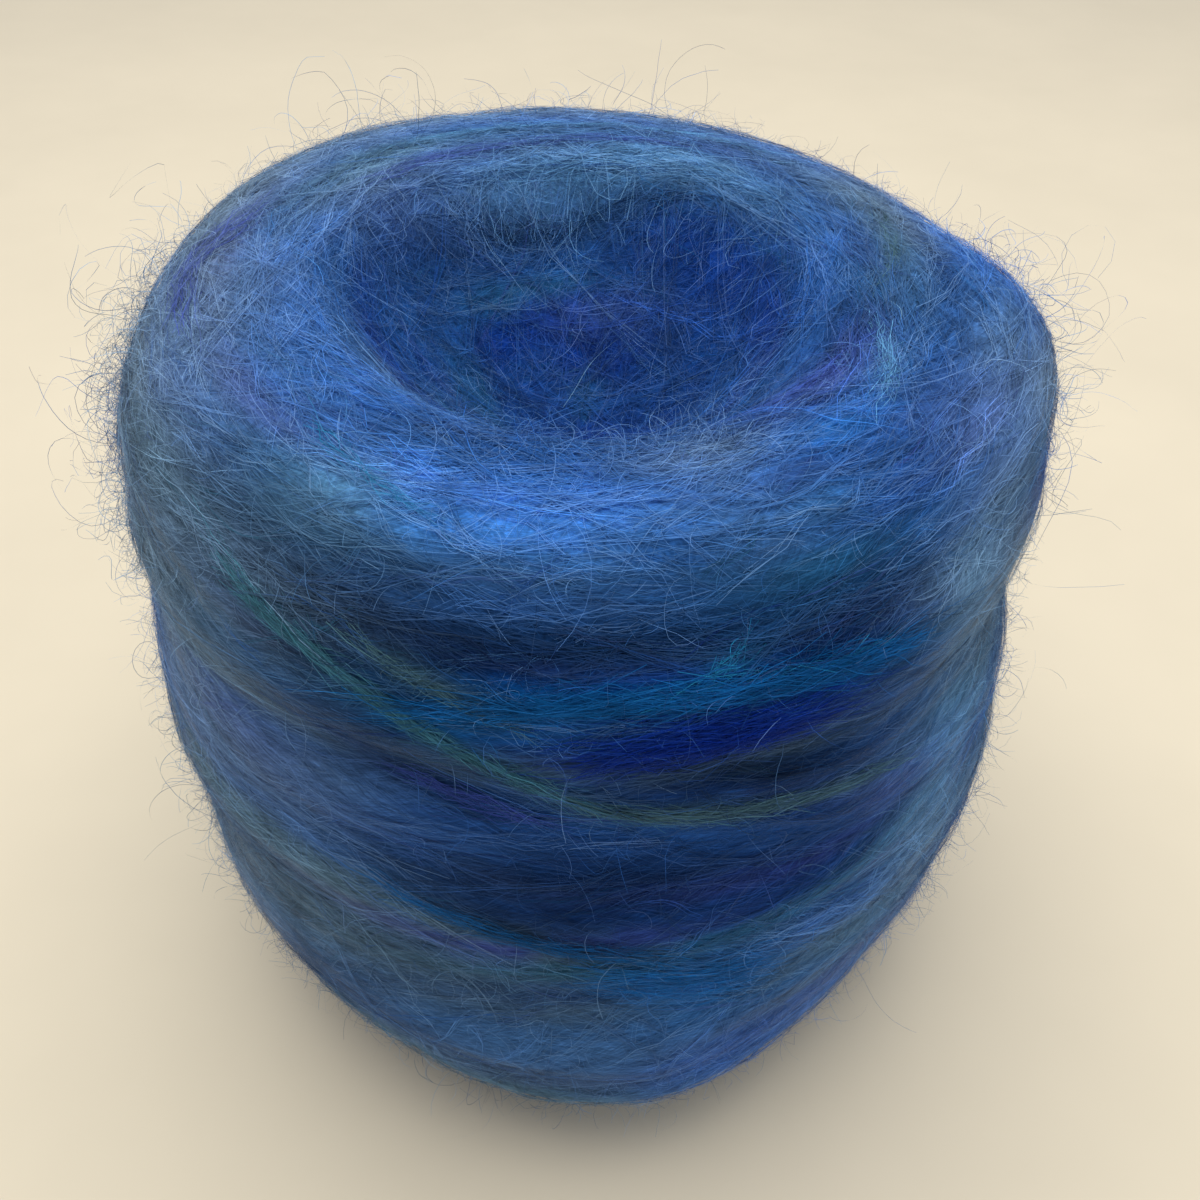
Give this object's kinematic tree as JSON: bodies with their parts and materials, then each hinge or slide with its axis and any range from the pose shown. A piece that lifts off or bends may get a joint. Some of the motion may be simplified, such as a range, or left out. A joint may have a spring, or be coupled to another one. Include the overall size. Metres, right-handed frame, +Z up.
{
  "type": "wound ball of mohair yarn",
  "caption": "Soft hand-wound ball of brushed, hand-dyed mohair yarn with a dished hollow in its top and a flat spot that it stands on.",
  "frame": {"origin": "centre of the flat spot under the ball, on the surface that it stands on", "axes": "+Z up through the hollow in the top, -Y toward the front, +X to the viewer's right"},
  "size_m": [0.1472, 0.1512, 0.1402],
  "materials": {
    "mohair": "brushed, hairy, dyed in blues with teal and violet"
  },
  "bodies": {
    "root": {"wound_ball": "mohair"}
  },
  "joints": []
}
